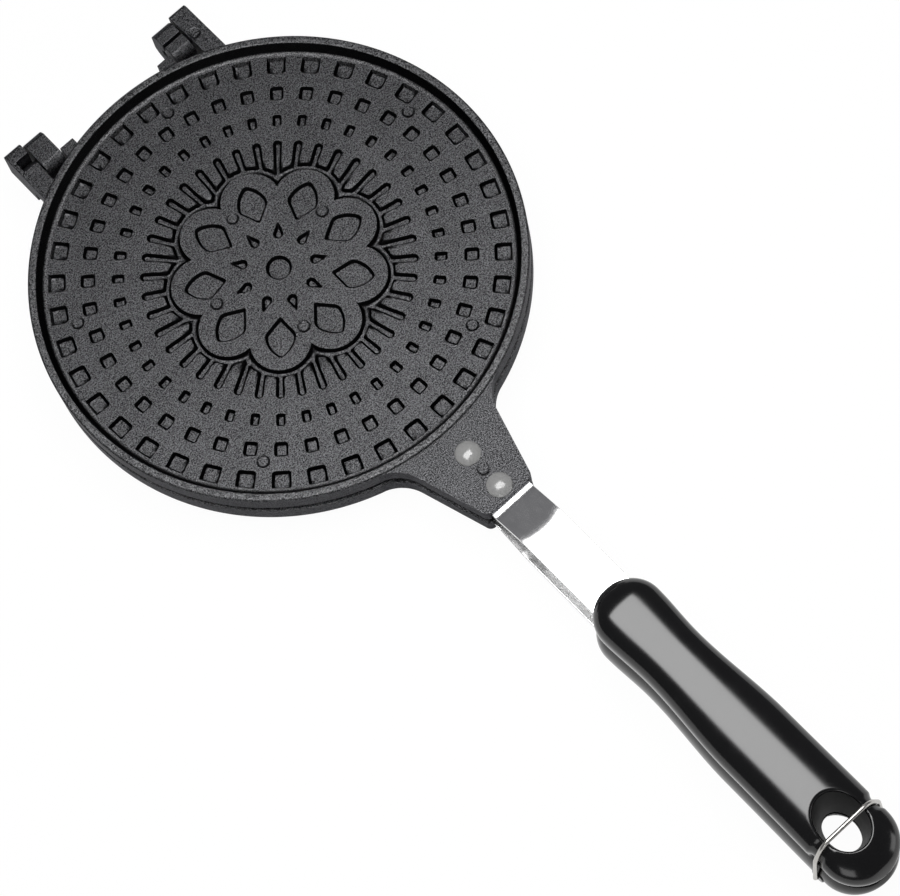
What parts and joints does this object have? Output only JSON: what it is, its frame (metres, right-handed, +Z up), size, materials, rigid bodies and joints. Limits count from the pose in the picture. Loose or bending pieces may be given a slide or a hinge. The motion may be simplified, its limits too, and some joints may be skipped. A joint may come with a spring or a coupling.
{
  "type": "egg roll maker",
  "caption": "Hinged round cast plates with a relief pattern, long handles and a wire bail, closed flat to bake thin egg rolls on a hob.",
  "frame": {"origin": "middle of the lower plate, on the plane of its bottom rim", "axes": "+Z up, from the lower plate to the upper one; -Y towards the handles, +Y towards the hinge; +X right"},
  "size_m": [0.195, 0.4416, 0.0388],
  "materials": {
    "coated_casting": "dark grey non-stick coating over a blasted casting, fine satin grain",
    "polished_steel": "mirror-polished stainless band",
    "rivet_metal": "bright aluminium, slightly hammered dome",
    "moulded_grip": "glossy black phenolic moulding",
    "screw_steel": "zinc-plated steel",
    "pin_steel": "dark plain steel",
    "wire_steel": "bright drawn wire"
  },
  "bodies": {
    "base": {"lower_plate": "coated_casting", "lower_strap": "polished_steel", "lower_front_rivet": "rivet_metal", "lower_rear_rivet": "rivet_metal", "lower_grip": "moulded_grip", "lower_grip_screw": "screw_steel", "left_hinge_pin": "pin_steel", "right_hinge_pin": "pin_steel"},
    "lid": {"upper_plate": "coated_casting", "upper_strap": "polished_steel", "upper_front_rivet": "rivet_metal", "upper_rear_rivet": "rivet_metal", "upper_grip": "moulded_grip", "upper_grip_screw": "screw_steel"},
    "bail": {"latch_bail": "wire_steel"}
  },
  "joints": [
    {"name": "lid_hinge", "type": "hinge", "parent": "base", "child": "lid", "pos_m": [0, 0.103, 0.00935], "axis": [-1, 0, 0], "range_deg": [0, 180]},
    {"name": "bail_swing", "type": "hinge", "parent": "base", "child": "bail", "pos_m": [0, -0.3114, -0.00025], "axis": [1, 0, 0], "range_deg": [0, 105]}
  ]
}
